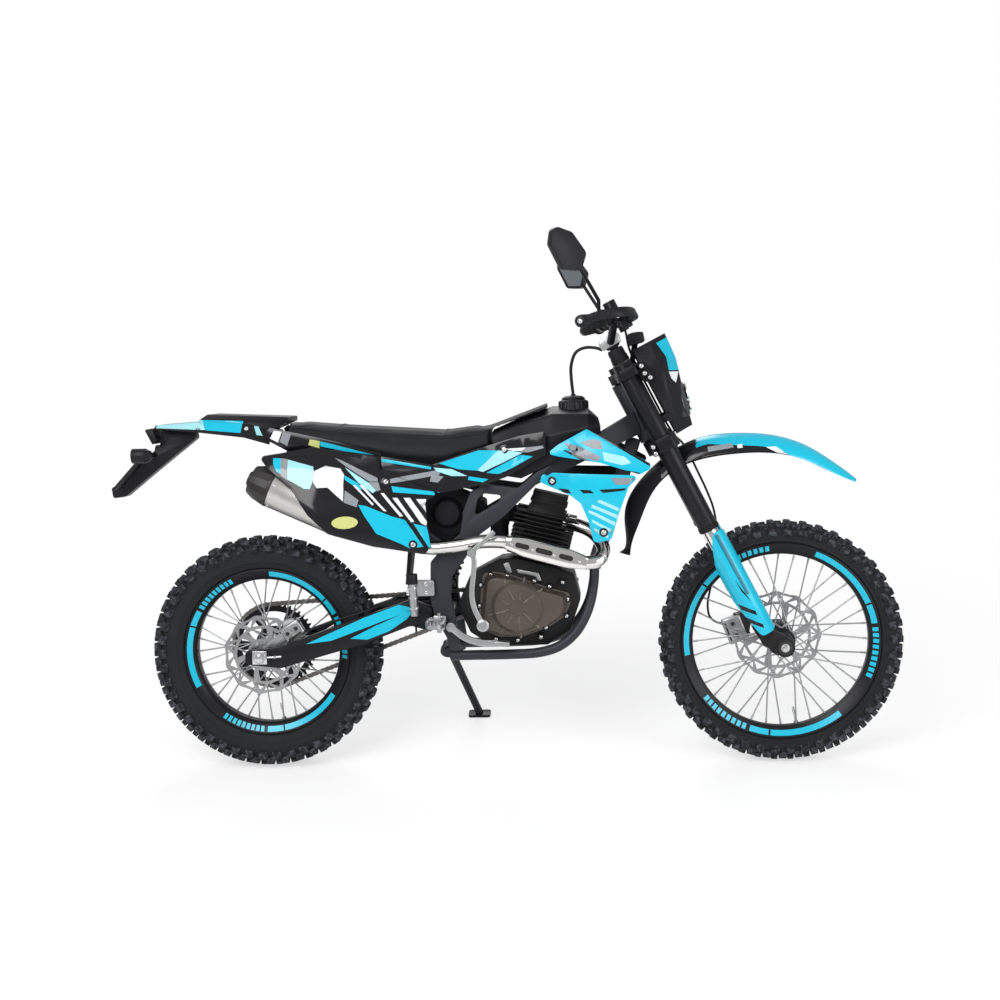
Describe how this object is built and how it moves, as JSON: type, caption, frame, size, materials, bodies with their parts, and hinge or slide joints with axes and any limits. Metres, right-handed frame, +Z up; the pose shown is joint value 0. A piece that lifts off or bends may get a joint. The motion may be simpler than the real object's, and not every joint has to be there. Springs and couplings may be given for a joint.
{
  "type": "dual sport motorcycle",
  "caption": "Dual sport motorcycle leaning on its side stand, with wire wheels, knobby tyres, single-cylinder engine and high bodywork.",
  "frame": {"origin": "on the ground under the middle of the box of the leaned machine", "axes": "+X forward, +Y to the left of the rider, +Z up; the machine leans 10 degrees to its left about X"},
  "size_m": [2.2642, 0.8802, 1.5396],
  "materials": {
    "tyre_rubber": "matt moulded rubber",
    "rim_black": "gloss black with blue stripes",
    "spoke_steel": "bright",
    "disc_steel": "ground",
    "black_steel": "satin black",
    "chain_steel": "oiled",
    "frame_grey": "satin dark grey",
    "swingarm_black": "satin black with blue stripes",
    "shock_steel": "satin",
    "fork_black": "satin black anodised",
    "slider_chrome": "polished",
    "blue_plastic": "gloss with black, white and grey graphics",
    "black_plastic": "fine grain",
    "lamp_glass": "clear",
    "rear_lamp": "smoked",
    "grip_rubber": "ribbed",
    "hose_rubber": "smooth black hose",
    "alloy": "cast, bright",
    "engine_black": "satin black",
    "engine_bronze": "satin bronze",
    "exhaust_steel": "polished",
    "silencer_alloy": "brushed",
    "seat_cover": "matt vinyl"
  },
  "bodies": {
    "chassis": {"frame_head": "black_steel", "frame_spars": "frame_grey", "engine_cradle": "black_steel", "rear_subframe": "black_steel", "swingarm": "swingarm_black", "rear_axle": "black_steel", "rear_shock": "shock_steel", "crankcase": "engine_black", "clutch_cover": "engine_bronze", "generator_cover": "engine_black", "cylinder": "engine_black", "cylinder_head": "engine_black", "intake": "black_plastic", "exhaust_header": "exhaust_steel", "heat_shield": "exhaust_steel", "silencer": "silencer_alloy", "kick_starter": "alloy", "foot_levers": "black_steel", "footpegs": "alloy", "rear_brake": "alloy", "rear_brake_hose": "hose_rubber", "chain": "chain_steel", "fuel_tank": "black_plastic", "fuel_cap": "black_plastic", "seat": "seat_cover", "shrouds": "blue_plastic", "side_panels": "blue_plastic", "rear_fender": "black_plastic", "rear_lights": "rear_lamp", "plate_holder": "black_plastic"},
    "front_end": {"fork_outer_legs": "fork_black", "fork_sliders": "slider_chrome", "fork_lugs": "fork_black", "fork_guards": "blue_plastic", "front_axle": "black_steel", "triple_clamps": "fork_black", "handlebar": "black_steel", "grips": "grip_rubber", "hand_levers": "alloy", "handguards": "black_plastic", "mirrors": "black_plastic", "headlight_mask": "black_plastic", "headlight": "lamp_glass", "instrument": "black_plastic", "front_fender": "blue_plastic", "front_caliper": "alloy", "front_brake_hose": "hose_rubber"},
    "front_wheel": {"front_tyre": "tyre_rubber", "front_rim": "rim_black", "front_hub_spokes": "spoke_steel", "front_disc": "disc_steel"},
    "rear_wheel": {"rear_tyre": "tyre_rubber", "rear_rim": "rim_black", "rear_hub_spokes": "spoke_steel", "rear_disc": "disc_steel", "rear_sprocket": "black_steel"},
    "side_stand": {"side_stand": "black_steel"}
  },
  "joints": [
    {"name": "steering", "type": "hinge", "parent": "chassis", "child": "front_end", "pos_m": [0.39608, -0.05711, 0.98658], "axis": [-0.4462, 0.1554, 0.8813], "range_deg": [-42, 42]},
    {"name": "front_wheel_spin", "type": "hinge", "parent": "front_end", "child": "front_wheel", "pos_m": [0.78709, -0.17072, 0.34225], "axis": [0, 0.9848, -0.1736], "continuous": true},
    {"name": "rear_wheel_spin", "type": "hinge", "parent": "chassis", "child": "rear_wheel", "pos_m": [-0.69291, -0.17194, 0.33536], "axis": [0, 0.9848, -0.1736], "continuous": true},
    {"name": "side_stand_fold", "type": "hinge", "parent": "chassis", "child": "side_stand", "pos_m": [-0.18091, -0.03661, 0.2851], "axis": [0, 0.9659, 0.2588], "range_deg": [0, 108]}
  ]
}
